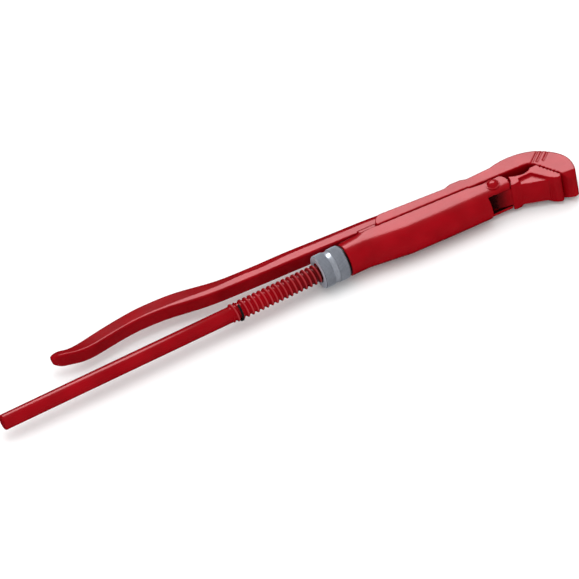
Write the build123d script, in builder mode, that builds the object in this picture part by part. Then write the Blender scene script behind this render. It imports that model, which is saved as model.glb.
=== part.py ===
"""Corner-jaw pipe wrench of the 2 inch size, lying flat with its jaws closed.

Lengths are in millimetres. The origin is the middle of the closed bite. +X runs along the
threaded rod towards the jaws, +Y towards the back of the fixed lever, +Z is up, square to the
flat side plates. Outlines are drawn from the jaw rivet, which the planes below place.
"""
import os

from build123d import *

# ---- driving dimensions -------------------------------------------------------------------
RIVET_X, RIVET_Y = -50.0, 12.2   # jaw rivet, from the middle of the bite
HEAD_Z = 15.2                    # half thickness of the lever's head and of its hook
WEB_Z = 11.6                     # half thickness of the rib that runs between the side plates
HANDLE_Z = 7.2                   # half thickness of the lever's handle at its front ridge
SPINE_Z = 4.0                    # half thickness of the handle at its back edge

ROD_Y = 8.3                      # axis of rod, nut and collar above the rivet
ROD_R = 7.2                      # plain grip of the rod
THREAD_R = 8.75                  # over the crests of the thread
ROD_END, THREAD_END, THREAD_FRONT = -486.0, -260.0, -126.0
PIN_X = -113.0                   # hinge between the rod and the fixed lever
PIN_R = 3.95
EYE_R, EYE_Z = 9.2, 4.5          # flat eye at the rod's front end
LUG_R, LUG_Z, SLOT_Z = 9.5, 8.6, 5.0
FIT = 0.05                       # radial clearance of a pin in its hole

SHEET = 2.8                      # wall of the pressed housing
SHELL_R = 15.0                   # outer radius of its collar and of its round belly
SHELL_REAR = -145.3
MOUTH_X = -10.0                  # where the belly ends and the two ears go on
EAR_R, EAR_AT = 12.6, (1.5, -2.5)    # the lobe of each ear round the rivet
EAR_TOP = 6.6                    # the ears' flat tops, which pass under the lever's arm

RIVET_R, RIVET_HEAD_R, RIVET_HEAD_H = 4.0, 6.3, 3.4
DOME_R, FLANGE_H = 5.0, 0.5
JAW_Z = 15.0                     # half thickness of the lower jaw's head
JAW_WEB_Z = 12.2                 # half thickness in the pocket of its neck
TAIL_Z = 9.8                     # half thickness of the tail between the plates
BITE = ((44.5, -2.8), (55.3, -21.5))   # closed bite, from its top to its bottom
BITE_GAP = 0.2                   # each jaw stands this far off the bite line
TOOTH_PITCH, TOOTH_DEPTH, TEETH = 3.6, 1.2, 6
BEVEL_AT, BEVEL_RUN = (43.8, -21.0), (0.986, -0.168)   # the jaws' feet thin out beyond this line
BEVEL_LENGTH, BEVEL_DROP, BEVEL_REACH = 34.0, 5.8, 10.0
# forged grooves across the hook: where each begins on the throat side
GROOVES, GROOVE_RUN = ((40.4, 2.9), (45.2, 1.9), (50.5, 0.0)), (0.753, 0.658)
GROOVE_HALF, GROOVE_DEPTH, GROOVE_LENGTH = 1.1, 0.9, 26.0

NUT_REAR, NUT_FRONT = -171.8, -147.4
NUT_R, NUT_GROOVE_R, NUT_BORE_R = 15.4, 14.5, 9.0
KNURL_REAR, KNURL_FRONT = 9.6, 10.0    # widths of the two knurled bands
WASHER_REAR, WASHER_FRONT = -147.1, -145.9
WASHER_R = 13.5
CLIP_REAR, CLIP_FRONT = -252.4, -250.8
CLIP_R, CLIP_SEAT_R = 9.6, 7.4

LEAF_Z = 4.0                     # half width of the leaf spring
LEAF_T = 0.7
TAIL_TOP = 5.5
LEAF_RIVET_X, LEAF_RIVET_R, LEAF_RIVET_FOOT = -18.0, 1.5, 2.4


def side(z=0.0):
    """The plane of the side view at height z, with its origin on the jaw rivet."""
    return Plane((RIVET_X, RIVET_Y, z))


def across(x, y=0.0):
    """A section plane facing +X, x and y from the jaw rivet: its own x is +Y and its y is +Z."""
    return Plane((RIVET_X + x, RIVET_Y + y, 0), x_dir=(0, 1, 0), z_dir=(1, 0, 0))


def above(x, y):
    """A plane facing +Y at x and y from the jaw rivet."""
    return Plane((RIVET_X + x, RIVET_Y + y, 0), x_dir=(1, 0, 0), z_dir=(0, 1, 0))


def facing(start, run):
    """A section plane at a point of the side view, facing along `run`: its own y is +Z."""
    (x, y), (ux, uy) = start, run
    return Plane((RIVET_X + x, RIVET_Y + y, 0), x_dir=(-uy, ux, 0), z_dir=(ux, uy, 0))


def bevel_cut(turn, high):
    """Section of what the foot bevel takes off a jaw of half thickness `high`, turn 1 up or -1 down."""
    Polyline((0, turn * high), (-BEVEL_REACH, turn * (high - BEVEL_DROP)), (-BEVEL_REACH, turn * (high + 2)),
             (0, turn * (high + 2)), close=True)


def groove_cut(turn):
    """Section of a groove across the hook's flat, turn 1 above or -1 below."""
    Polyline((-GROOVE_HALF, turn * HEAD_Z), (0, turn * (HEAD_Z - GROOVE_DEPTH)), (GROOVE_HALF, turn * HEAD_Z),
             (0, turn * (HEAD_Z + 1)), close=True)


def on_bite(along, off):
    """A point `along` the bite from its top and `off` it, positive towards the lower jaw."""
    (x0, y0), (x1, y1) = BITE
    length = ((x1 - x0) ** 2 + (y1 - y0) ** 2) ** 0.5
    ux, uy = (x1 - x0) / length, (y1 - y0) / length
    return (x0 + along * ux + off * uy, y0 + along * uy - off * ux)


def notch(row, off, reach):
    """Outline of the notch between two teeth, cut into the side of the bite that reach points to."""
    middle = (row + 0.5) * TOOTH_PITCH
    Polyline(
        on_bite(middle - 0.8, off),
        on_bite(middle, off + reach * TOOTH_DEPTH),
        on_bite(middle + 0.8, off),
        on_bite(middle, off - reach * 0.3),
        close=True,
    )


# ---- fixed lever: hook jaw, shoulder and handle in one forging ------------------------------
# station along the handle: (x, front edge y, back edge y, width of the flat ridge)
HANDLE = (
    (-404.0, 43.0, 53.8, 1.0),
    (-394.0, 39.7, 51.8, 1.0),
    (-383.0, 38.3, 52.9, 1.0),
    (-371.0, 39.3, 55.0, 1.0),
    (-352.0, 41.8, 57.9, 1.0),
    (-335.0, 43.2, 59.7, 1.2),
    (-318.0, 42.7, 60.2, 1.6),
    (-300.0, 40.5, 59.2, 2.6),
    (-283.0, 37.0, 56.6, 4.4),
    (-266.0, 34.0, 52.4, 5.2),
    (-248.0, 32.2, 48.8, 6.0),
    (-225.0, 30.7, 46.9, 6.6),
    (-195.0, 29.0, 45.5, 7.2),
    (-160.0, 26.9, 42.9, 7.6),
    (-130.0, 24.7, 40.6, 7.8),
    (-98.0, 21.6, 37.6, 8.0),
    (-60.0, 17.0, 30.5, 6.0),
    (-25.0, 13.0, 21.5, 4.0),
)
# its blunt end, with the half thickness at the ridge and at the back edge added
HANDLE_TIP = (
    (-414.8, 47.8, 53.6, 1.0, 3.6, 2.4),
    (-411.0, 45.6, 54.6, 1.0, 6.0, 3.4),
    (-404.0, 43.0, 53.8, 1.0, HANDLE_Z, SPINE_Z),
)
RIDGE = 0.9                      # small flats that break the handle's long corners


def handle_section(front, back, flat, thick=HANDLE_Z, thin=SPINE_Z):
    """Closed outline of the handle: a steep front, a flat ridge and a long slope to the back."""
    upper = [
        (front, thick - RIDGE),
        (front + RIDGE, thick),
        (front + RIDGE + flat, thick),
        (back - RIDGE, thin),
        (back, thin - RIDGE),
    ]
    lower = [(y, -z) for y, z in reversed(upper)]
    Polyline(*upper, *lower, close=True)


with BuildPart() as fixed_lever:
    # head: hook, arm and the raised panel whose lower edge is the housing's shoulder
    with BuildSketch(side()):
        with BuildLine():
            top = Line((-107.0, 15.9), (-19.0, 10.0))
            step = Line(top @ 1, (-19.0, 8.9))
            arm = Polyline(step @ 1, (4.0, 7.6), (33.5, 5.4))
            throat = ThreePointArc(arm @ 1, (38.6, 4.3), on_bite(-4.6, -BITE_GAP))
            face = Line(throat @ 1, on_bite(28.6, -BITE_GAP))
            nose = Polyline(face @ 1, (62.6, -31.4), (66.6, -30.0), (68.7, -26.2))
            hook = Spline(
                nose @ 1, (71.0, -16.5), (69.4, -5.0), (63.9, 3.8), (52.6, 14.2),
                (38.0, 20.4), (24.0, 22.2), (8.0, 20.2),
            )
            spine = Polyline(hook @ 1, (-15.5, 20.0), (-21.0, 22.2), (-31.0, 22.8), (-37.0, 20.9),
                             (-99.5, 26.8))
            rear = ThreePointArc(spine @ 1, (-104.8, 23.4), (-107.0, 18.6))
            Line(rear @ 1, top @ 0)
        make_face()
    extrude(amount=HEAD_Z, both=True)
    # handle, running on into the head
    for x, front, back, flat in HANDLE:
        with BuildSketch(across(x)):
            with BuildLine():
                handle_section(front, back, flat)
            make_face()
    loft()
    # blunt rounded end of the handle
    for x, front, back, flat, thick, thin in HANDLE_TIP:
        with BuildSketch(across(x)):
            with BuildLine():
                handle_section(front, back, flat, thick, thin)
            make_face()
    loft()
    # rib between the plates, and the neck that carries the rod's hinge
    with BuildSketch(side()):
        with BuildLine():
            Polyline((-101.0, 8.6), (-12.0, 8.6), (-12.0, 14.0), (-101.0, 20.0), close=True)
        make_face()
    extrude(amount=WEB_Z, both=True)
    with BuildSketch(side()):
        with BuildLine():
            Polyline((-122.5, ROD_Y), (-100.5, ROD_Y), (-100.5, 24.5), (-122.5, 25.5), close=True)
        make_face()
        with Locations((PIN_X, ROD_Y)):
            Circle(LUG_R)
    extrude(amount=LUG_Z, both=True)
    with BuildSketch(side()):
        with BuildLine():
            Polyline((-130.0, -4.0), (PIN_X, -4.0), (PIN_X, 19.0), (-130.0, 19.0), close=True)
        make_face()
        with Locations((PIN_X, ROD_Y)):
            Circle(EYE_R + 1.3)
    extrude(amount=SLOT_Z, both=True, mode=Mode.SUBTRACT)
    with BuildSketch(side()):
        with Locations((PIN_X, ROD_Y)):
            Circle(PIN_R + FIT)
    extrude(amount=LUG_Z + 1, both=True, mode=Mode.SUBTRACT)
    with BuildSketch(side()):
        for row in range(TEETH):
            with BuildLine():
                notch(row, -BITE_GAP, -1)
            make_face()
    extrude(amount=HEAD_Z + 1, both=True, mode=Mode.SUBTRACT)
    # bevelled foot of the hook, and the grooves across its flats
    for turn in (1, -1):
        with BuildSketch(facing(BEVEL_AT, BEVEL_RUN)):
            with BuildLine():
                bevel_cut(turn, HEAD_Z)
            make_face()
        extrude(amount=BEVEL_LENGTH, mode=Mode.SUBTRACT)
        for start in GROOVES:
            with BuildSketch(facing(start, GROOVE_RUN)):
                with BuildLine():
                    groove_cut(turn)
                make_face()
            extrude(amount=GROOVE_LENGTH, mode=Mode.SUBTRACT)

# ---- hinge pin of the rod -------------------------------------------------------------------
with BuildPart() as hinge_pin:
    with BuildSketch(side()):
        with Locations((PIN_X, ROD_Y)):
            Circle(PIN_R)
    extrude(amount=LUG_Z, both=True)
    chamfer(hinge_pin.faces().filter_by(Axis.Z).edges(), length=0.5)

# ---- housing shell: a pressed U whose rear end closes into a collar ---------------------------
# station along the shell: (x, centre of the round belly, centre of the round top)
SHELL = (
    (-145.3, 8.28, 8.32),
    (-128.0, 8.2, 10.0),
    (-107.0, 4.6, 19.0),
    (-88.0, 1.4, 20.0),
    (-50.0, -0.5, 20.0),
    (14.0, -2.7, 20.0),
)


def shell_section(low, high, radius):
    """A stadium: round belly about `low`, straight sides, round top about `high`."""
    belly = ThreePointArc((low, -radius), (low - radius, 0), (low, radius))
    right = Line(belly @ 1, (high, radius))
    crown = ThreePointArc(right @ 1, (high + radius, 0), (high, -radius))
    Line(crown @ 1, belly @ 0)


def on_ear(y):
    """The front point of the ear's lobe at height y."""
    return (EAR_AT[0] + (EAR_R**2 - (y - EAR_AT[1]) ** 2) ** 0.5, y)


with BuildPart() as housing_shell:
    for x, low, high in SHELL:
        with BuildSketch(across(x)):
            with BuildLine():
                shell_section(low, high, SHELL_R)
            make_face()
    loft(ruled=True)
    for x, low, high in SHELL:
        with BuildSketch(across(x)):
            with BuildLine():
                shell_section(low, high, SHELL_R - SHEET)
            make_face()
    loft(ruled=True, mode=Mode.SUBTRACT)
    # top edge, a little below the lever's shoulder, falling from the collar to the ears
    with BuildSketch(side()):
        with BuildLine():
            Polyline((-150.0, 20.9), (SHELL_REAR, 20.2), (-107.0, 15.3), (-19.6, 9.4), (-18.2, 8.2),
                     (-8.0, EAR_TOP), (20.0, EAR_TOP), (20.0, 60.0), (-150.0, 60.0), close=True)
        make_face()
    extrude(amount=SHELL_R + 5, both=True, mode=Mode.SUBTRACT)
    # mouth: the belly is cut square, and two round ears carry the rivet
    with BuildSketch(side()):
        with BuildLine():
            floor = Polyline((MOUTH_X, -8.4), (MOUTH_X, -30.0), (30.0, -30.0), (30.0, EAR_TOP),
                             on_ear(EAR_TOP))
            ear = ThreePointArc(floor @ 1, on_ear(EAR_AT[1]), on_ear(-9.4))
            Line(ear @ 1, floor @ 0)
        make_face()
    extrude(amount=SHELL_R + 5, both=True, mode=Mode.SUBTRACT)
    with BuildSketch(side()):
        Circle(RIVET_R + FIT)
    extrude(amount=SHELL_R + 5, both=True, mode=Mode.SUBTRACT)

# ---- jaw rivet, domed on both sides -----------------------------------------------------------
with BuildPart() as jaw_rivet:
    with BuildSketch(side()):
        Circle(RIVET_R)
    extrude(amount=SHELL_R, both=True)
    with BuildSketch(Plane((RIVET_X, RIVET_Y, SHELL_R), x_dir=(1, 0, 0), z_dir=(0, -1, 0))):
        with BuildLine():
            dome = ThreePointArc((0, RIVET_HEAD_H), (3.7, 2.4), (DOME_R, FLANGE_H + 0.3))
            Polyline(dome @ 1, (RIVET_HEAD_R, FLANGE_H), (RIVET_HEAD_R, 0), (0, 0), (0, RIVET_HEAD_H))
        make_face()
    revolve(axis=Axis((RIVET_X, RIVET_Y, 0), (0, 0, 1)))
    mirror(about=Plane.XY)

# ---- lower jaw: toothed head, pocketed neck and the tail between the plates ---------------------
SHOULDER_R = 15.8                # clears the ears as the jaw rocks about its rivet
with BuildPart() as lower_jaw:
    # neck at the depth of its side pockets
    with BuildSketch(side()):
        with BuildLine():
            Polyline((12.0, 2.0), (12.0, -9.0), (17.0, -11.2), (21.0, -12.0), (43.6, -21.2), (47.0, -20.0),
                     (40.0, -3.0), (34.0, -3.4), (29.0, -3.9), (21.0, -2.2), close=True)
        make_face()
    extrude(amount=JAW_WEB_Z, both=True)
    # full thickness: shoulder round the ears, top rail, toothed head and its heel
    with BuildSketch(side()):
        with BuildLine():
            bite = Line(on_bite(-3.0, BITE_GAP), on_bite(21.6, BITE_GAP))
            heel = ThreePointArc(bite @ 1, (54.2, -25.3), (51.7, -26.0))
            back = Polyline(heel @ 1, (48.0, -24.2), (44.4, -20.4), (34.4, -6.7), (22.2, -6.6), (21.8, -10.4),
                            (17.0, -11.4), (12.6, -10.4), (11.2, -4.0), (14.0, 3.0), (16.4, 1.0),
                            (21.6, -1.8), (29.0, -3.7), (33.9, -2.5), (37.0, -0.2), bite @ 0)
        make_face()
    extrude(amount=JAW_Z, both=True)
    # concave shoulder, turned about the rivet
    with BuildSketch(side()):
        Circle(SHOULDER_R)
    extrude(amount=JAW_Z + 5, both=True, mode=Mode.SUBTRACT)
    with BuildSketch(side()):
        with BuildLine():
            Polyline((-22.0, 1.4), (-9.0, 0.6), (-5.4, -3.4), (0.0, -6.6), (6.0, -8.2), (12.0, -9.2),
                     (17.4, -9.8), (18.5, -4.0), (17.2, -0.6), (11.0, TAIL_TOP - 1), (8.0, TAIL_TOP),
                     (-20.5, TAIL_TOP), (-22.0, 4.0), close=True)
        make_face()
    extrude(amount=TAIL_Z, both=True)
    with BuildSketch(side()):
        Circle(RIVET_R + FIT)
    extrude(amount=JAW_Z, both=True, mode=Mode.SUBTRACT)
    with BuildSketch(above(LEAF_RIVET_X, 0.0)):
        Circle(LEAF_RIVET_R + FIT)
    extrude(amount=TAIL_TOP + 1, mode=Mode.SUBTRACT)
    with BuildSketch(side()):
        for row in range(TEETH):
            with BuildLine():
                notch(row, BITE_GAP, 1)
            make_face()
    extrude(amount=HEAD_Z + 1, both=True, mode=Mode.SUBTRACT)

# ---- leaf spring on the tail, and its rivet -----------------------------------------------------
with BuildPart() as leaf_spring:
    with BuildSketch(side()):
        with BuildLine():
            base = Polyline((-12.5, TAIL_TOP + LEAF_T), (-21.0, TAIL_TOP + LEAF_T), (-21.0, TAIL_TOP),
                            (-12.5, TAIL_TOP))
            under = ThreePointArc(base @ 1, (-3.5, TAIL_TOP + 1.3), (5.5, TAIL_TOP))
            tip = Line(under @ 1, (5.9, TAIL_TOP + LEAF_T))
            ThreePointArc(tip @ 1, (-3.5, TAIL_TOP + 1.3 + LEAF_T), base @ 0)
        make_face()
    extrude(amount=LEAF_Z, both=True)
    with BuildSketch(above(LEAF_RIVET_X, 0.0)):
        Circle(LEAF_RIVET_R + FIT)
    extrude(amount=TAIL_TOP + 5, mode=Mode.SUBTRACT)

with BuildPart() as spring_rivet:
    with BuildSketch(above(LEAF_RIVET_X, LEAF_RIVET_FOOT)):
        Circle(LEAF_RIVET_R)
    extrude(amount=TAIL_TOP + LEAF_T - LEAF_RIVET_FOOT)
    with BuildSketch(above(LEAF_RIVET_X, TAIL_TOP + LEAF_T)):
        Circle(LEAF_RIVET_R + 1.0)
    extrude(amount=0.5)

# ---- handle rod: round grip, threaded length and flat hinge eye ---------------------------------
with BuildPart() as handle_rod:
    with BuildSketch(across(ROD_END, ROD_Y)):
        Circle(ROD_R)
    extrude(amount=THREAD_END - ROD_END)
    chamfer(handle_rod.faces().sort_by(Axis.X)[0].edges(), length=1.4)
    with BuildSketch(across(THREAD_END, ROD_Y)):
        Circle(THREAD_R)
    extrude(amount=THREAD_FRONT - THREAD_END)
    chamfer(handle_rod.faces().sort_by(Axis.X)[-1].edges(), length=1.4)
    with BuildSketch(side()):
        with BuildLine():
            Polyline((THREAD_FRONT - 2, ROD_Y - 7.6), (PIN_X, ROD_Y - EYE_R), (PIN_X, ROD_Y + EYE_R),
                     (THREAD_FRONT - 2, ROD_Y + 7.6), close=True)
        make_face()
        with Locations((PIN_X, ROD_Y)):
            Circle(EYE_R)
    extrude(amount=EYE_Z, both=True)
    with BuildSketch(side()):
        with Locations((PIN_X, ROD_Y)):
            Circle(PIN_R + FIT)
    extrude(amount=EYE_Z + 1, both=True, mode=Mode.SUBTRACT)
    with BuildSketch(across(CLIP_REAR - 0.1, ROD_Y)):
        Circle(THREAD_R + 2)
        Circle(CLIP_SEAT_R, mode=Mode.SUBTRACT)
    extrude(amount=CLIP_FRONT - CLIP_REAR + 0.2, mode=Mode.SUBTRACT)

# ---- stop clip: an open ring that ends the nut's travel -----------------------------------------
with BuildPart() as stop_clip:
    with BuildSketch(across(CLIP_REAR, ROD_Y)):
        Circle(CLIP_R)
        Circle(CLIP_SEAT_R + FIT, mode=Mode.SUBTRACT)
        with BuildLine():
            Polyline((0, 0), (20, -6), (20, 20), (-4, 20), close=True)
        make_face(mode=Mode.SUBTRACT)
    extrude(amount=CLIP_FRONT - CLIP_REAR)

# ---- thrust washer between nut and collar ---------------------------------------------------------
with BuildPart() as thrust_washer:
    with BuildSketch(across(WASHER_REAR, ROD_Y)):
        Circle(WASHER_R)
        Circle(NUT_BORE_R + 0.1, mode=Mode.SUBTRACT)
    extrude(amount=WASHER_FRONT - WASHER_REAR)

# ---- adjusting nut: two knurled bands with a smooth waist ------------------------------------------
with BuildPart() as adjusting_nut:
    with BuildSketch(across(NUT_REAR, ROD_Y)):
        Circle(NUT_R)
    extrude(amount=NUT_FRONT - NUT_REAR)
    chamfer(adjusting_nut.faces().filter_by(Axis.X).edges(), length=0.9)
    with BuildSketch(across(NUT_REAR + KNURL_REAR, ROD_Y)):
        Circle(NUT_R + 2)
        Circle(NUT_GROOVE_R, mode=Mode.SUBTRACT)
    extrude(amount=NUT_FRONT - NUT_REAR - KNURL_REAR - KNURL_FRONT, mode=Mode.SUBTRACT)
    with BuildSketch(across(NUT_REAR, ROD_Y)):
        Circle(NUT_BORE_R)
    extrude(amount=NUT_FRONT - NUT_REAR, mode=Mode.SUBTRACT)

# ---- write one file per piece -----------------------------------------------------------------------
os.makedirs("parts", exist_ok=True)
pieces = {
    "fixed_lever": fixed_lever,
    "hinge_pin": hinge_pin,
    "housing_shell": housing_shell,
    "jaw_rivet": jaw_rivet,
    "lower_jaw": lower_jaw,
    "leaf_spring": leaf_spring,
    "spring_rivet": spring_rivet,
    "handle_rod": handle_rod,
    "stop_clip": stop_clip,
    "thrust_washer": thrust_washer,
    "adjusting_nut": adjusting_nut,
}
for name, piece in pieces.items():
    piece.part.label = name
    export_step(piece.part, f"parts/{name}.step")
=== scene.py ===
"""Looks of the corner-jaw pipe wrench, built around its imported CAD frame. Lengths are in metres."""
import math

import bmesh
import bpy
from mathutils import Matrix, Vector


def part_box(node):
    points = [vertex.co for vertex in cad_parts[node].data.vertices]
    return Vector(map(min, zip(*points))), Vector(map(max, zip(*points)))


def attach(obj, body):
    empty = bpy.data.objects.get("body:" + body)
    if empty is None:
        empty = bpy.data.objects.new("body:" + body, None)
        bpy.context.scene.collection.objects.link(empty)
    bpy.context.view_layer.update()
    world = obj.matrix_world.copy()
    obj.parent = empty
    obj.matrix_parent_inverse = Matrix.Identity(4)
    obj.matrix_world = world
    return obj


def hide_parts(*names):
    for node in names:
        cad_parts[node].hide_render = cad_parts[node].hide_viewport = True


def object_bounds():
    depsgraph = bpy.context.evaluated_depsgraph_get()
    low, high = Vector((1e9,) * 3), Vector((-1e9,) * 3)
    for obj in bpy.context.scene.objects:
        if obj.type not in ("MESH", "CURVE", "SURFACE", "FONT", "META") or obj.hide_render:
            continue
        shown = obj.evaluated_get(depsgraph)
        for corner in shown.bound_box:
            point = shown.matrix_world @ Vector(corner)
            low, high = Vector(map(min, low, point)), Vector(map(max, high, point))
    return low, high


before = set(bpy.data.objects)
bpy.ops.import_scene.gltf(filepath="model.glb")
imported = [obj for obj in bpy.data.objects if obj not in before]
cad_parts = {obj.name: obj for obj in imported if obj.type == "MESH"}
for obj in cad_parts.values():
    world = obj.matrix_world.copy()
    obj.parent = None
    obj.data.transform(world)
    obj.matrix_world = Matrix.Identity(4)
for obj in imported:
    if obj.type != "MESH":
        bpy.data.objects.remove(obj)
cad_low, cad_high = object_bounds()
MM = 0.001


def scene_link(thing):
    """Puts an object into the scene and hands it back."""
    bpy.context.scene.collection.objects.link(thing)
    return thing


# ---- places read from the frame -----------------------------------------------------------------
ROD_LOW, ROD_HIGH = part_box("handle_rod")
NUT_LOW, NUT_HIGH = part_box("adjusting_nut")
CLIP_LOW, CLIP_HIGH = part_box("stop_clip")
PIN_LOW, PIN_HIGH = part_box("hinge_pin")
ROD_Y = (NUT_LOW[1] + NUT_HIGH[1]) / 2         # the axis of rod and nut, at height 0
NUT_R = (NUT_HIGH[1] - NUT_LOW[1]) / 2
THREAD_R = ROD_HIGH[2]                         # over the crests
PIN_X = (PIN_LOW[0] + PIN_HIGH[0]) / 2
PIN_Y = (PIN_LOW[1] + PIN_HIGH[1]) / 2

# ---- sizes of the finer forms -------------------------------------------------------------------
GRIP_R = 7.2 * MM
THREAD_ROOT_R = 6.95 * MM
THREAD_PITCH = 4.8 * MM
THREAD_LENGTH = 134.0 * MM
THREAD_FRONT = PIN_X - 13.0 * MM               # where the thread gives way to the flat eye
THREAD_REAR = THREAD_FRONT - THREAD_LENGTH
CLIP_SEAT_R = 7.35 * MM
EYE_R, EYE_HALF = 9.2 * MM, 4.5 * MM
KNURL_HEIGHT = 0.52 * MM
KNURL_REAR, KNURL_FRONT = 9.6 * MM, 10.0 * MM
WAIST_R = 14.5 * MM
NUT_BORE_R = 9.0 * MM
BITE_TOP, BITE_FOOT = Vector((-5.5, 9.4)) * MM, Vector((5.3, -9.3)) * MM

# the line that the housing's round belly is drawn about, (x, y) in millimetres
BELLY = [(-195.3, 20.5), (-178.0, 20.4), (-157.0, 16.8), (-138.0, 13.6), (-100.0, 11.7), (-36.0, 9.5)]
TOP_LINE = 32.2 * MM                           # how high the middle plane between its plates reaches

# edges melted round: grain of the remesh, then rounds of smoothing
LEVER_GRAIN, LEVER_ROUNDS = 0.55 * MM, 9
HOUSING_GRAIN, HOUSING_ROUNDS = 0.5 * MM, 10
JAW_GRAIN, JAW_ROUNDS = 0.4 * MM, 16
TEETH_SHARE = 0.12                             # how much of the smoothing reaches the teeth

RED, DEEP_RED = (0.29, 0.0002, 0.0040, 1), (0.24, 0.0001, 0.0030, 1)
# painted shade for the rod's thread grooves near the nut
ROD_GROOVE_SHADE = (0.035, 0.004, 0.004, 1)
# painted shade for the jaw's tail between the housing's plates
JAW_TAIL_SHADE = (0.012, 0.002, 0.002, 1)
# painted highlight along the thread's crests
CREST_HIGHLIGHT_RED = (0.62, 0.16, 0.17, 1)
# painted shade for the knurl's valleys
KNURL_SHADE = (0.06, 0.065, 0.075, 1)


# ---- materials ----------------------------------------------------------------------------------
class Paint:
    """A material's node tree with short words for what this object needs."""

    def __init__(self, name):
        self.material = bpy.data.materials.new(name)
        self.material.use_nodes = True
        self.nodes = self.material.node_tree.nodes
        self.links = self.material.node_tree.links
        self.shader = self.nodes["Principled BSDF"]
        self.place = self.nodes.new("ShaderNodeTexCoord")

    def set(self, **values):
        """Sets the shader's plain values."""
        for socket, value in values.items():
            self.shader.inputs[socket.replace("_", " ")].default_value = value

    def noise(self, size, detail=3.0, stretch=(1, 1, 1)):
        """Fractal noise whose lumps are about `size` across."""
        spread = self.nodes.new("ShaderNodeMapping")
        spread.inputs["Scale"].default_value = stretch
        self.links.new(self.place.outputs["Object"], spread.inputs["Vector"])
        cloud = self.nodes.new("ShaderNodeTexNoise")
        cloud.inputs["Scale"].default_value = 1 / size
        cloud.inputs["Detail"].default_value = detail
        self.links.new(spread.outputs["Vector"], cloud.inputs["Vector"])
        return cloud.outputs["Fac"]

    def between(self, source, low, high, out_low, out_high):
        """Maps a value's span onto another, clamped."""
        span = self.nodes.new("ShaderNodeMapRange")
        limits = {"From Min": low, "From Max": high, "To Min": out_low, "To Max": out_high}
        for socket, value in limits.items():
            span.inputs[socket].default_value = value
        self.links.new(source, span.inputs["Value"])
        return span.outputs["Result"]

    def blend(self, factor, first, second):
        """Colour that goes from first to second with the factor."""
        mix = self.nodes.new("ShaderNodeMix")
        mix.data_type = "RGBA"
        mix.inputs[6].default_value = first
        mix.inputs[7].default_value = second
        self.links.new(factor, mix.inputs[0])
        return mix.outputs[2]

    def blend_over(self, below, colour, factor):
        """Lays a colour over a colour source by the factor."""
        mix = self.nodes.new("ShaderNodeMix")
        mix.data_type = "RGBA"
        mix.inputs[7].default_value = colour
        self.links.new(below, mix.inputs[6])
        self.links.new(factor, mix.inputs[0])
        return mix.outputs[2]

    def parts(self):
        """x, y and z of the place on the object."""
        split = self.nodes.new("ShaderNodeSeparateXYZ")
        self.links.new(self.place.outputs["Object"], split.inputs[0])
        return split.outputs

    def from_axis(self):
        """Distance from the axis of rod and nut."""
        x, y, z = self.parts()
        across = self.sum("SUBTRACT", y, ROD_Y)
        squares = self.sum("ADD", self.sum("MULTIPLY", across, across), self.sum("MULTIPLY", z, z))
        return self.sum("SQRT", squares)

    def sum(self, operation, first, second=0.0):
        """One scalar sum of sources and numbers."""
        node = self.nodes.new("ShaderNodeMath")
        node.operation = operation
        for socket, value in zip(node.inputs, (first, second)):
            if isinstance(value, bpy.types.NodeSocket):
                self.links.new(value, socket)
            else:
                socket.default_value = value
        return node.outputs[0]

    def relief(self, *layers):
        """Bump from (height source, strength, depth) layers, one on another."""
        below = None
        for source, strength, depth in layers:
            bump = self.nodes.new("ShaderNodeBump")
            bump.inputs["Strength"].default_value = strength
            bump.inputs["Distance"].default_value = depth
            self.links.new(source, bump.inputs["Height"])
            if below:
                self.links.new(below, bump.inputs["Normal"])
            below = bump.outputs["Normal"]
        self.links.new(below, self.shader.inputs["Normal"])
        return below

    def feed(self, socket, source):
        """Links a source to one of the shader's sockets."""
        self.links.new(source, self.shader.inputs[socket])


def red_enamel(name, lumps, waviness):
    """Gloss red enamel over metal that isn't quite smooth; gives the open paint for more to be added."""
    paint = Paint(name)
    paint.set(Roughness=0.24, Specular_IOR_Level=0.5, Specular_Tint=(1.0, 0.34, 0.37, 1))
    paint.set(Coat_Weight=0.10, Coat_Roughness=0.08)
    tone = paint.between(paint.noise(24 * MM, 2.0), 0.35, 0.65, 0.0, 1.0)
    paint.colour = paint.blend(tone, RED, DEEP_RED)
    paint.feed("Base Color", paint.colour)
    paint.feed("Roughness", paint.between(paint.noise(22 * MM, 2.0), 0.3, 0.7, 0.22, 0.27))
    normal = paint.relief(
        (paint.noise(9 * MM, 2.0), waviness, 0.5 * MM),
        (paint.noise(1.6 * MM, 2.0), lumps, 0.12 * MM),
    )
    paint.feed("Coat Normal", normal)
    return paint


def rod_enamel():
    """The rod's enamel: a painted highlight along the crests of the thread, and painted shade in the
    thread's grooves that deepens towards the nut.
    """
    paint = red_enamel("red_enamel_rod", 0.05, 0.10)
    radius = paint.from_axis()
    # painted highlight: the thread's crests are paled
    crest_highlight = paint.between(radius, THREAD_R - 0.45 * MM, THREAD_R - 0.10 * MM, 0.0, 0.17)
    # painted shade: the thread's grooves darken towards the nut, most at their roots
    shade_ramp = paint.between(paint.parts()[0], NUT_LOW[0] - 45 * MM, NUT_LOW[0], 0.0, 0.85)
    hidden = paint.between(radius, THREAD_R - 0.2 * MM, THREAD_ROOT_R + 0.5 * MM, 0.35, 1.0)
    shade = paint.blend_over(paint.colour, ROD_GROOVE_SHADE, paint.sum("MULTIPLY", shade_ramp, hidden))
    paint.feed("Base Color", paint.blend_over(shade, CREST_HIGHLIGHT_RED, crest_highlight))
    return paint


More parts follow.
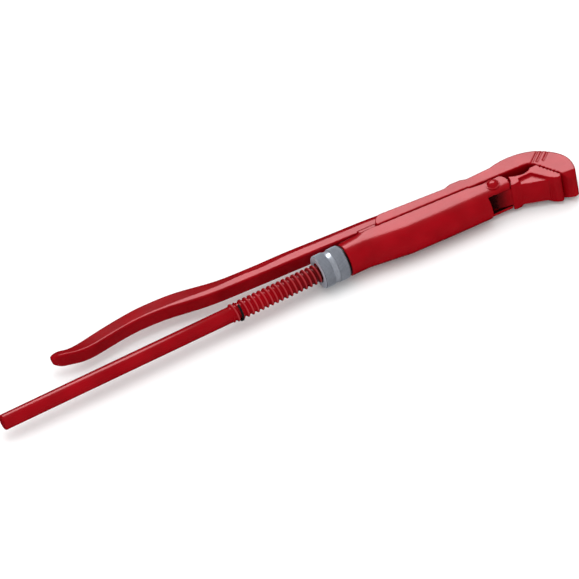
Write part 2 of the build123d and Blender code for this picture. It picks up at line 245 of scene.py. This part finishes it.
def jaw_enamel():
    """The lower jaw's enamel, blackened by painted shade on the tail that rocks between the plates."""
    paint = red_enamel("red_enamel_jaw", 0.34, 0.34)
    along = paint.parts()[0]
    wander = paint.between(paint.noise(4 * MM), 0.3, 0.7, -1.5 * MM, 1.5 * MM)
    ragged = paint.sum("ADD", along, wander)
    # painted shade: the tail darkens where it sits between the plates
    shade_ramp = paint.between(ragged, -52 * MM, -37 * MM, 0.95, 0.0)
    paint.feed("Base Color", paint.blend_over(paint.colour, JAW_TAIL_SHADE, shade_ramp))
    return paint


def inside_shade_paint():
    """Dull near-black paint for the inner faces of a pressing: painted shade there."""
    paint = Paint("inside_shade_paint")
    cloud = paint.noise(6 * MM, 3.0)
    paint.feed("Base Color", paint.blend(cloud, (0.030, 0.002, 0.002, 1), (0.014, 0.002, 0.002, 1)))
    paint.feed("Roughness", paint.between(cloud, 0.3, 0.7, 0.5, 0.8))
    paint.relief((paint.noise(1.5 * MM), 0.2, 0.05 * MM))
    return paint.material


def zinc_plate():
    """Bright zinc over knurled steel: pale metal, a little clouded, with painted shade down in the
    knurl's valleys.
    """
    paint = Paint("zinc_plate")
    paint.set(Metallic=0.55)
    cloud = paint.between(paint.noise(4 * MM, 4.0), 0.3, 0.7, 0.0, 1.0)
    paint.colour = paint.blend(cloud, (0.62, 0.66, 0.76, 1), (0.76, 0.80, 0.90, 1))
    radius = paint.from_axis()
    base = NUT_R - KNURL_HEIGHT
    # painted shade: darker towards the bottom of the knurl's valleys
    valley_shade = paint.between(radius, base + 0.05 * MM, NUT_R - 0.12 * MM, 0.80, 0.0)
    rim = paint.between(radius, base - 0.12 * MM, base - 0.06 * MM, 0.0, 1.0)
    knurl_valley_shade = paint.sum("MULTIPLY", valley_shade, rim)
    paint.feed("Base Color", paint.blend_over(paint.colour, KNURL_SHADE, knurl_valley_shade))
    paint.feed("Roughness", paint.between(paint.noise(2 * MM, 4.0), 0.3, 0.7, 0.40, 0.52))
    paint.relief((paint.noise(0.6 * MM, 2.0), 0.25, 0.03 * MM))
    return paint.material


def polished_zinc():
    """The nut's waist, bright from the tool."""
    paint = Paint("polished_zinc")
    paint.set(Metallic=0.5)
    marks = paint.noise(1.0 * MM, 3.0, stretch=(5, 0.3, 0.3))
    paint.feed("Base Color", paint.blend(marks, (0.34, 0.36, 0.42, 1), (0.54, 0.57, 0.63, 1)))
    paint.feed("Roughness", paint.between(marks, 0.3, 0.7, 0.24, 0.36))
    paint.relief((marks, 0.2, 0.02 * MM))
    return paint.material


def turned_steel():
    """Plain steel with fine lathe marks round Z."""
    paint = Paint("turned_steel")
    paint.set(Metallic=1.0)
    marks = paint.noise(1.0 * MM, 4.0, stretch=(0.2, 0.2, 4))
    paint.feed("Base Color", paint.blend(marks, (0.36, 0.36, 0.37, 1), (0.52, 0.52, 0.53, 1)))
    paint.feed("Roughness", paint.between(marks, 0.3, 0.7, 0.25, 0.45))
    paint.relief((marks, 0.3, 0.02 * MM))
    return paint.material


def blackened_steel():
    """Oil-blackened spring steel, faintly mottled."""
    paint = Paint("blackened_steel")
    paint.set(Metallic=0.7)
    mottle = paint.noise(1.5 * MM, 4.0)
    paint.feed("Base Color", paint.blend(mottle, (0.012, 0.012, 0.014, 1), (0.045, 0.043, 0.045, 1)))
    paint.feed("Roughness", paint.between(mottle, 0.3, 0.7, 0.3, 0.5))
    paint.relief((mottle, 0.2, 0.02 * MM))
    return paint.material


FORGED_RED = red_enamel("red_enamel_forged", 0.34, 0.34).material
JAW_RED = jaw_enamel().material
PRESSED_RED = red_enamel("red_enamel_pressed", 0.12, 0.24).material
INSIDE_SHADE = inside_shade_paint()
TURNED_RED = rod_enamel().material
ZINC = zinc_plate()
BRIGHT_ZINC = polished_zinc()
STEEL = turned_steel()
BLACK = blackened_steel()


# ---- mesh helpers -------------------------------------------------------------------------------
def baked(thing, name):
    """The evaluated mesh of a helper object as a plain new object; the helper goes."""
    seen = thing.evaluated_get(bpy.context.evaluated_depsgraph_get())
    mesh = bpy.data.meshes.new_from_object(seen)
    bpy.data.objects.remove(thing)
    mesh.name = name
    return scene_link(bpy.data.objects.new(name, mesh))


def finish_piece(piece, material, body, slot, *nodes, angle=35):
    """Smooth shading, material, and what the frame needs to know of a piece."""
    piece.data.materials.clear()
    piece.data.materials.append(material)
    piece.data.shade_smooth()
    if angle:
        piece.data.set_sharp_from_angle(angle=math.radians(angle))
    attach(piece, body)
    if nodes:
        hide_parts(*nodes)
    return piece


def welded_copy(node):
    """A CAD node's mesh as a new object with its loose triangles joined."""
    copy = bpy.data.objects.new(node + "_copy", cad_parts[node].data.copy())
    form = bmesh.new()
    form.from_mesh(copy.data)
    bmesh.ops.remove_doubles(form, verts=form.verts, dist=0.005 * MM)
    form.to_mesh(copy.data)
    form.free()
    return scene_link(copy)


def bite_distance(point):
    """How far a point is from the line of the closed bite."""
    along = BITE_FOOT - BITE_TOP
    flat = Vector((point[0], point[1])) - BITE_TOP
    share = min(1.0, max(0.0, flat.dot(along) / along.length_squared))
    return (flat - along * share).length


def soft_edged(node, name, grain_size, rounds, triangles, teeth=None):
    """A CAD node's form with its edges melted round, as under enamel.

    Where `teeth` is given, only that share of the smoothing reaches the bite's teeth."""
    copy = welded_copy(node)
    grain = copy.modifiers.new("grain", "REMESH")
    grain.mode = "VOXEL"
    grain.voxel_size = grain_size
    piece = baked(copy, name)
    group = piece.vertex_groups.new(name="melt")
    for vertex in piece.data.vertices:
        weight = 1.0
        if teeth:
            weight = min(1.0, max(teeth, (bite_distance(vertex.co) - 2.0 * MM) / (1.5 * MM)))
        group.add([vertex.index], weight, "REPLACE")
    melt = piece.modifiers.new("melt", "SMOOTH")
    melt.factor = 0.5
    melt.iterations = rounds
    melt.vertex_group = "melt"
    count = 2 * len(piece.data.polygons)
    if count > triangles:
        thin = piece.modifiers.new("thin", "DECIMATE")
        thin.ratio = triangles / count
    piece = baked(piece, name)
    piece.vertex_groups.clear()
    return piece


def lathe(profile, steps):
    """A mesh turned about the rod's axis from (x, radius) points; radius 0 closes it at a pole."""
    form = bmesh.new()
    rings = []
    for x, radius in profile:
        if radius == 0:
            rings.append([form.verts.new((x, ROD_Y, 0))])
            continue
        ring = []
        for i in range(steps):
            a = 2 * math.pi * i / steps
            ring.append(form.verts.new((x, ROD_Y + radius * math.cos(a), radius * math.sin(a))))
        rings.append(ring)
    for one, two in zip(rings, rings[1:]):
        for i in range(steps):
            j = (i + 1) % steps
            if len(one) == 1:
                form.faces.new((one[0], two[j], two[i]))
            elif len(two) == 1:
                form.faces.new((one[i], one[j], two[0]))
            else:
                form.faces.new((one[i], one[j], two[j], two[i]))
    if len(rings[0]) > 1 and len(rings[-1]) > 1:
        for i in range(steps):
            j = (i + 1) % steps
            form.faces.new((rings[-1][i], rings[-1][j], rings[0][j], rings[0][i]))
    bmesh.ops.recalc_face_normals(form, faces=form.faces)
    mesh = bpy.data.meshes.new("turned")
    form.to_mesh(mesh)
    form.free()
    return scene_link(bpy.data.objects.new("turned", mesh))


def joined(name, *things):
    """Several helper objects as one new object."""
    form = bmesh.new()
    for thing in things:
        form.from_mesh(thing.data)
        bpy.data.objects.remove(thing)
    mesh = bpy.data.meshes.new(name)
    form.to_mesh(mesh)
    form.free()
    return scene_link(bpy.data.objects.new(name, mesh))


def arc(centre, radius, start, end, count):
    """Points of a fillet in a lathe profile, angles in degrees."""
    turn = [math.radians(start + (end - start) * i / count) for i in range(count + 1)]
    return [(centre[0] + radius * math.cos(a), centre[1] + radius * math.sin(a)) for a in turn]


# ---- Geometry Nodes -----------------------------------------------------------------------------
class Tree:
    """A Geometry Nodes tree in a few words: inputs by name, sums, and one way out."""

    def __init__(self, name, inputs):
        self.group = bpy.data.node_groups.new(name, "GeometryNodeTree")
        face = self.group.interface
        face.new_socket("Geometry", in_out="INPUT", socket_type="NodeSocketGeometry")
        for label, (kind, value) in inputs.items():
            socket = face.new_socket(label, in_out="INPUT", socket_type=kind)
            socket.default_value = value
        face.new_socket("Geometry", in_out="OUTPUT", socket_type="NodeSocketGeometry")
        self.given = self.group.nodes.new("NodeGroupInput")
        self.result = self.group.nodes.new("NodeGroupOutput")

    def put(self, kind, settings=None, **inputs):
        """A node with its inputs linked or set; a key may be a socket's name or _number."""
        node = self.group.nodes.new(kind)
        for key, value in (settings or {}).items():
            setattr(node, key, value)
        for key, value in inputs.items():
            socket = node.inputs[int(key[1:])] if key[0] == "_" else node.inputs[key.replace("_", " ")]
            if isinstance(value, bpy.types.NodeSocket):
                self.group.links.new(value, socket)
            else:
                socket.default_value = value
        return node

    def sum(self, operation, first, second=0.0, third=0.0):
        """One scalar sum of sockets and numbers."""
        node = self.put("ShaderNodeMath", {"operation": operation}, _0=first, _1=second, _2=third)
        return node.outputs[0]

    def named(self, label):
        return self.given.outputs[label]

    def parts(self, vector):
        return self.put("ShaderNodeSeparateXYZ", _0=vector).outputs

    def vector(self, x, y, z):
        return self.put("ShaderNodeCombineXYZ", _0=x, _1=y, _2=z).outputs[0]

    def finish(self, geometry, material):
        """Realize Instances, Set Material, out."""
        real = self.put("GeometryNodeRealizeInstances", Geometry=geometry)
        dressed = self.put("GeometryNodeSetMaterial", Geometry=real.outputs[0], Material=material)
        self.group.links.new(dressed.outputs[0], self.result.inputs[0])

    def grow(self, name):
        """A plain object with what the tree makes."""
        seed = scene_link(bpy.data.objects.new(name, bpy.data.meshes.new(name)))
        modifier = seed.modifiers.new("grow", "NODES")
        modifier.node_group = self.group
        return baked(seed, name)


FLOAT, WHOLE = "NodeSocketFloat", "NodeSocketInt"


def helical_thread():
    """The rod's thread: columns of a grid follow the helix, so the crest is one clean edge."""
    turns = int(THREAD_LENGTH / THREAD_PITCH) + 2
    tree = Tree("helical_thread", {
        "Rear": (FLOAT, THREAD_REAR),
        "Length": (FLOAT, THREAD_LENGTH),
        "Pitch": (FLOAT, THREAD_PITCH),
        "Crest radius": (FLOAT, THREAD_R),
        "Root radius": (FLOAT, THREAD_ROOT_R),
        "End radius": (FLOAT, GRIP_R - 0.1 * MM),
        "Turns": (WHOLE, turns),
        "Samples": (WHOLE, 12),
        "Around": (WHOLE, 64),
    })
    columns = tree.sum("ADD", tree.sum("MULTIPLY", tree.named("Turns"), tree.named("Samples")), 1)
    rows = tree.sum("ADD", tree.named("Around"), 1)
    grid = tree.put("GeometryNodeMeshGrid", Size_X=tree.named("Turns"), Size_Y=1.0, Vertices_X=columns,
                    Vertices_Y=rows)
    spot = tree.parts(tree.put("GeometryNodeInputPosition").outputs[0])
    u = tree.sum("ADD", spot[0], tree.sum("DIVIDE", tree.named("Turns"), 2))
    v = tree.sum("ADD", spot[1], 0.5)
    free_x = tree.sum("MULTIPLY", tree.sum("SUBTRACT", tree.sum("ADD", u, v), 1), tree.named("Pitch"))
    x = tree.sum("MINIMUM", tree.sum("MAXIMUM", free_x, 0), tree.named("Length"))
    # ridge: a V with a rounded crest and root, from the place along one pitch
    phase = tree.sum("FRACT", tree.sum("ADD", u, 0.0001))
    from_crest = tree.sum("ABSOLUTE", tree.sum("SUBTRACT", tree.sum("MULTIPLY", phase, 2), 1))
    slope = tree.sum("SUBTRACT", 1, from_crest)
    rounded = {"interpolation_type": "SMOOTHSTEP"}
    ridge = tree.put("ShaderNodeMapRange", rounded, _0=slope, _1=0.08, _2=0.92)
    depth = tree.sum("SUBTRACT", tree.named("Crest radius"), tree.named("Root radius"))
    height = tree.sum("MULTIPLY", depth, ridge.outputs[0])
    full = tree.sum("ADD", tree.named("Root radius"), height)
    # both ends run out into a plain radius
    near = tree.sum("MINIMUM", x, tree.sum("SUBTRACT", tree.named("Length"), x))
    run_out = tree.put("ShaderNodeMapRange", {}, _0=near, _1=0.0, _2=0.4 * THREAD_PITCH)
    gain = tree.sum("MULTIPLY", tree.sum("SUBTRACT", full, tree.named("End radius")), run_out.outputs[0])
    radius = tree.sum("ADD", tree.named("End radius"), gain)
    # the seat of the stop clip
    across = tree.sum("ADD", x, tree.named("Rear"))
    seat = (CLIP_LOW[0] + CLIP_HIGH[0]) / 2
    off_seat = tree.sum("ABSOLUTE", tree.sum("SUBTRACT", across, seat))
    seated = tree.sum("LESS_THAN", off_seat, (CLIP_HIGH[0] - CLIP_LOW[0]) / 2 + 0.25 * MM)
    cut = tree.sum("MINIMUM", radius, CLIP_SEAT_R)
    turned = tree.sum("ADD", tree.sum("MULTIPLY", seated, cut),
                      tree.sum("MULTIPLY", tree.sum("SUBTRACT", 1, seated), radius))
    angle = tree.sum("MULTIPLY", v, 2 * math.pi)
    y = tree.sum("ADD", tree.sum("MULTIPLY", tree.sum("COSINE", angle), turned), ROD_Y)
    z = tree.sum("MULTIPLY", tree.sum("SINE", angle), turned)
    wrapped = tree.put("GeometryNodeSetPosition", Geometry=grid.outputs[0],
                       Position=tree.vector(across, y, z))
    welded = tree.put("GeometryNodeMergeByDistance", Geometry=wrapped.outputs[0], Distance=0.002 * MM)
    tree.finish(welded.outputs[0], TURNED_RED)
    return tree.grow("thread")


def knurl(start, width, label):
    """A band of pyramids round the nut, in two staggered sets, as a diamond knurl leaves them."""
    columns = 2 * round(width / (1.5 * MM)) + 1
    tree = Tree("diamond_knurl_" + label, {
        "Start": (FLOAT, start),
        "Width": (FLOAT, width),
        "Radius": (FLOAT, NUT_R - KNURL_HEIGHT),
        "Height": (FLOAT, KNURL_HEIGHT),
        "Columns": (WHOLE, columns),
        "Around": (WHOLE, 64),
    })
    around = tree.named("Around")
    grid = tree.put("GeometryNodeMeshGrid", Size_X=tree.named("Width"),
                    Size_Y=tree.sum("SUBTRACT", around, 1),
                    Vertices_X=tree.named("Columns"), Vertices_Y=around)
    spot = tree.parts(tree.put("GeometryNodeInputPosition").outputs[0])
    step = tree.sum("DIVIDE", tree.named("Width"), tree.sum("SUBTRACT", tree.named("Columns"), 1))
    from_start = tree.sum("ADD", spot[0], tree.sum("DIVIDE", tree.named("Width"), 2))
    column = tree.sum("ROUND", tree.sum("DIVIDE", from_start, step))
    stagger = tree.sum("MULTIPLY", tree.sum("MODULO", column, 2), 0.5)
    place = tree.sum("ADD", tree.sum("ADD", spot[1], tree.sum("MULTIPLY", around, 0.5)), stagger)
    angle = tree.sum("MULTIPLY", tree.sum("DIVIDE", place, around), 2 * math.pi)
    y = tree.sum("ADD", tree.sum("MULTIPLY", tree.sum("COSINE", angle), tree.named("Radius")), ROD_Y)
    z = tree.sum("MULTIPLY", tree.sum("SINE", angle), tree.named("Radius"))
    x = tree.sum("ADD", from_start, tree.named("Start"))
    turn = tree.vector(tree.sum("SUBTRACT", angle, math.pi / 2), 0.0, 0.0)
    # keep each point's own turn before it is moved
    stored = tree.put("GeometryNodeStoreNamedAttribute", {"data_type": "FLOAT_VECTOR"},
                      Geometry=grid.outputs[0], Name="turn", Value=turn)
    wrapped = tree.put("GeometryNodeSetPosition", Geometry=stored.outputs[0],
                       Position=tree.vector(x, y, z))
    kept = tree.put("GeometryNodeInputNamedAttribute", {"data_type": "FLOAT_VECTOR"}, Name="turn")
    diamond = tree.put("GeometryNodeMeshCone", {"fill_type": "NONE"}, Vertices=4, Radius_Top=0.0,
                       Radius_Bottom=1.0, Depth=tree.named("Height"))
    half_around = tree.sum("DIVIDE", tree.sum("MULTIPLY", tree.named("Radius"), math.pi), around)
    scale = tree.vector(step, half_around, 1.0)
    many = tree.put("GeometryNodeInstanceOnPoints", Points=wrapped.outputs[0],
                    Instance=diamond.outputs[0], Rotation=kept.outputs[0], Scale=scale)
    tree.finish(many.outputs[0], ZINC)
    return tree.grow("knurl_" + label)


# ---- the pieces ---------------------------------------------------------------------------------
def lever_forging():
    """Hook jaw, arm, panel and handle in one enamelled forging."""
    piece = soft_edged("fixed_lever", "lever_forging", LEVER_GRAIN, LEVER_ROUNDS, 190000, TEETH_SHARE)
    finish_piece(piece, FORGED_RED, "lever", "enamel", "fixed_lever", angle=0)


def housing_pressing():
    """The pressed housing, enamelled outside, with dull near-black painted shade on its inner faces."""
    piece = soft_edged("housing_shell", "housing_pressing", HOUSING_GRAIN, HOUSING_ROUNDS, 150000)
    finish_piece(piece, PRESSED_RED, "housing", "enamel", "housing_shell", angle=0)
    piece.data.materials.append(INSIDE_SHADE)
    # faces turned towards the housing's inside take the painted shade
    for face in piece.data.polygons:
        x, y, _ = face.center
        nearest = Vector((x, min(max(y, belly_line(x)), TOP_LINE), 0))
        face.material_index = int(face.normal.dot((nearest - face.center).normalized()) > 0.6)


def belly_line(x):
    """Height y of the centre of the housing's belly at x, read between the stations."""
    for (x0, y0), (x1, y1) in zip(BELLY, BELLY[1:]):
        if x <= x1 * MM:
            return (y0 + (y1 - y0) * max(0.0, x / MM - x0) / (x1 - x0)) * MM
    return BELLY[-1][1] * MM


def jaw_forging():
    """The lower jaw: toothed head, neck and tail in one enamelled forging."""
    piece = soft_edged("lower_jaw", "jaw_forging", JAW_GRAIN, JAW_ROUNDS, 120000, TEETH_SHARE)
    finish_piece(piece, JAW_RED, "jaw", "enamel", "lower_jaw", angle=0)


def threaded_rod():
    """Grip, thread and hinge eye of the handle rod."""
    rear = ROD_LOW[0]
    rounding = 1.5 * MM
    end = arc((rear + rounding, GRIP_R - rounding), rounding, 180, 90, 6)
    front = THREAD_REAR + 2.0 * MM
    shoulder = [(front - 1.0 * MM, GRIP_R), (front, GRIP_R - 1.0 * MM), (front, 0)]
    grip = lathe([(rear, 0)] + end + shoulder, 96)
    thread = helical_thread()
    form = bmesh.new()
    form.from_mesh(thread.data)
    bmesh.ops.holes_fill(form, edges=[e for e in form.edges if e.is_boundary], sides=0)
    bmesh.ops.recalc_face_normals(form, faces=form.faces)
    form.to_mesh(thread.data)
    form.free()
    eye = hinge_eye()
    piece = joined("threaded_rod", grip, thread, eye)
    finish_piece(piece, TURNED_RED, "rod", "enamel", "handle_rod", angle=50)


def hinge_eye():
    """The flat eye in front of the thread, with its hole for the pin."""
    form = bmesh.new()
    count = 40
    hole_r = (PIN_HIGH[0] - PIN_LOW[0]) / 2 + 0.05 * MM
    outer, inner = [], []
    for i in range(count):
        a = 2 * math.pi * i / count
        reach = EYE_R
        if math.cos(a) < 0:
            reach = min(EYE_R / max(1e-6, abs(math.sin(a))), 15.0 * MM / abs(math.cos(a)))
        outer.append((PIN_X + reach * math.cos(a), PIN_Y + reach * math.sin(a)))
        inner.append((PIN_X + hole_r * math.cos(a), PIN_Y + hole_r * math.sin(a)))
    heights = ((-EYE_HALF, outer), (EYE_HALF, outer), (EYE_HALF, inner), (-EYE_HALF, inner))
    layers = [[form.verts.new((x, y, z)) for x, y in line] for z, line in heights]
    for one, two in zip(layers, layers[1:] + layers[:1]):
        for i in range(count):
            j = (i + 1) % count
            form.faces.new((one[i], one[j], two[j], two[i]))
    bmesh.ops.recalc_face_normals(form, faces=form.faces)
    mesh = bpy.data.meshes.new("hinge_eye")
    form.to_mesh(mesh)
    form.free()
    return scene_link(bpy.data.objects.new("hinge_eye", mesh))


def knurled_nut():
    """The adjusting nut: chamfered rims, two knurled bands, a polished waist and the bore."""
    rear, front = NUT_LOW[0], NUT_HIGH[0]
    base = NUT_R - KNURL_HEIGHT
    rim = 0.5 * MM
    waist_rear, waist_front = rear + KNURL_REAR, front - KNURL_FRONT
    fillet = 0.45 * MM
    lead_in = 0.5 * MM
    profile = [(rear, NUT_BORE_R + lead_in), (rear, base - rim)]
    profile += arc((rear + rim, base - rim), rim, 180, 90, 5)
    profile += [(waist_rear - 0.3 * MM, base), (waist_rear, base - 0.3 * MM)]
    profile += arc((waist_rear + fillet, WAIST_R + fillet), fillet, 180, 270, 4)
    profile += arc((waist_front - fillet, WAIST_R + fillet), fillet, 270, 360, 4)
    profile += [(waist_front, base - 0.3 * MM), (waist_front + 0.3 * MM, base)]
    profile += arc((front - rim, base - rim), rim, 90, 0, 5)
    profile += [(front, NUT_BORE_R + lead_in), (front - lead_in, NUT_BORE_R)]
    profile += [(rear + lead_in, NUT_BORE_R)]
    body = lathe(profile, 120)
    inset = 0.7 * MM
    bands = [knurl(rear + rim + inset, KNURL_REAR - rim - 2.3 * inset, "rear"),
             knurl(waist_front + 1.3 * inset, KNURL_FRONT - rim - 2.3 * inset, "front")]
    piece = joined("knurled_nut", body, *bands)
    finish_piece(piece, ZINC, "nut", "zinc", "adjusting_nut", angle=30)
    piece.data.materials.append(BRIGHT_ZINC)
    for face in piece.data.polygons:
        x, y, z = face.center
        in_waist = waist_rear < x < waist_front and math.hypot(y - ROD_Y, z) > NUT_BORE_R + 2 * MM
        face.material_index = int(in_waist)


def dress_cad_nodes():
    """Pieces whose CAD form is right take only a finish."""
    finishes = {
        "hinge_pin": STEEL, "jaw_rivet": PRESSED_RED, "leaf_spring": BLACK, "spring_rivet": STEEL,
        "stop_clip": BLACK, "thrust_washer": BLACK,
    }
    for node, material in finishes.items():
        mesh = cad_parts[node].data
        mesh.materials.clear()
        mesh.materials.append(material)


lever_forging()
housing_pressing()
jaw_forging()
threaded_rod()
knurled_nut()
dress_cad_nodes()


# ---- floor, light and camera --------------------------------------------------------------------
def pale_floor():
    """A plain pale ground just under the tool."""
    mesh = bpy.data.meshes.new("floor")
    reach = 6.0
    z = cad_low[2] - 0.0002
    corners = [(-reach, -reach, z), (reach, -reach, z), (reach, reach, z), (-reach, reach, z)]
    mesh.from_pydata(corners, [], [(0, 1, 2, 3)])
    floor = scene_link(bpy.data.objects.new("floor", mesh))
    paint = Paint("pale_floor")
    paint.set(Base_Color=(0.93, 0.93, 0.93, 1), Roughness=0.9, Specular_IOR_Level=0.1)
    mesh.materials.append(paint.material)
    floor.visible_glossy = False


def soft_box(name, place, target, size, power):
    """A rectangular lamp of that size at `place`, turned to `target`."""
    lamp = bpy.data.lights.new(name, "AREA")
    lamp.shape = "RECTANGLE"
    lamp.size, lamp.size_y = size
    lamp.energy = power
    thing = scene_link(bpy.data.objects.new(name, lamp))
    thing.location = place
    thing.rotation_euler = (Vector(target) - Vector(place)).to_track_quat("-Z", "Y").to_euler()
    return thing


def studio():
    """White surroundings, a large window behind and a soft panel above."""
    world = bpy.data.worlds.new("studio")
    world.use_nodes = True
    world.node_tree.nodes["Background"].inputs["Color"].default_value = (1, 1, 1, 1)
    world.node_tree.nodes["Background"].inputs["Strength"].default_value = 1.15
    bpy.context.scene.world = world
    world.cycles_visibility.glossy = False
    centre = (cad_low + cad_high) / 2
    window = soft_box("back_window", centre + Vector((0.62, 1.56, 1.65)), centre, (1.7, 1.1), 40)
    window.visible_diffuse = False
    panel = soft_box("top_panel", centre + Vector((0.1, 0.1, 2.2)), centre, (1.6, 1.6), 14)
    panel.visible_glossy = False
    bpy.context.scene.view_settings.view_transform = "Standard"


def camera():
    """A long lens, 44 degrees above the bench, rolled ten degrees."""
    right = Vector((0.8719, -0.4737, -0.1240)).normalized()
    back = Vector((-0.2615, -0.6645, 0.7000)).normalized()
    up = back.cross(right).normalized()
    right = up.cross(back)
    lens, sensor = 1200.0, 36.0
    view_width = 0.50379                         # metres across the view at the aim
    distance = lens / sensor * view_width
    aim = Vector((-0.2524, 0.0173, 0.0))
    data = bpy.data.cameras.new("camera")
    data.lens, data.sensor_width = lens, sensor
    data.clip_start, data.clip_end = 0.05, 50
    eye = scene_link(bpy.data.objects.new("camera", data))
    turn = Matrix((right, up, back)).transposed()
    eye.matrix_world = Matrix.Translation(aim + back * distance) @ turn.to_4x4()
    bpy.context.scene.camera = eye


pale_floor()
studio()
camera()
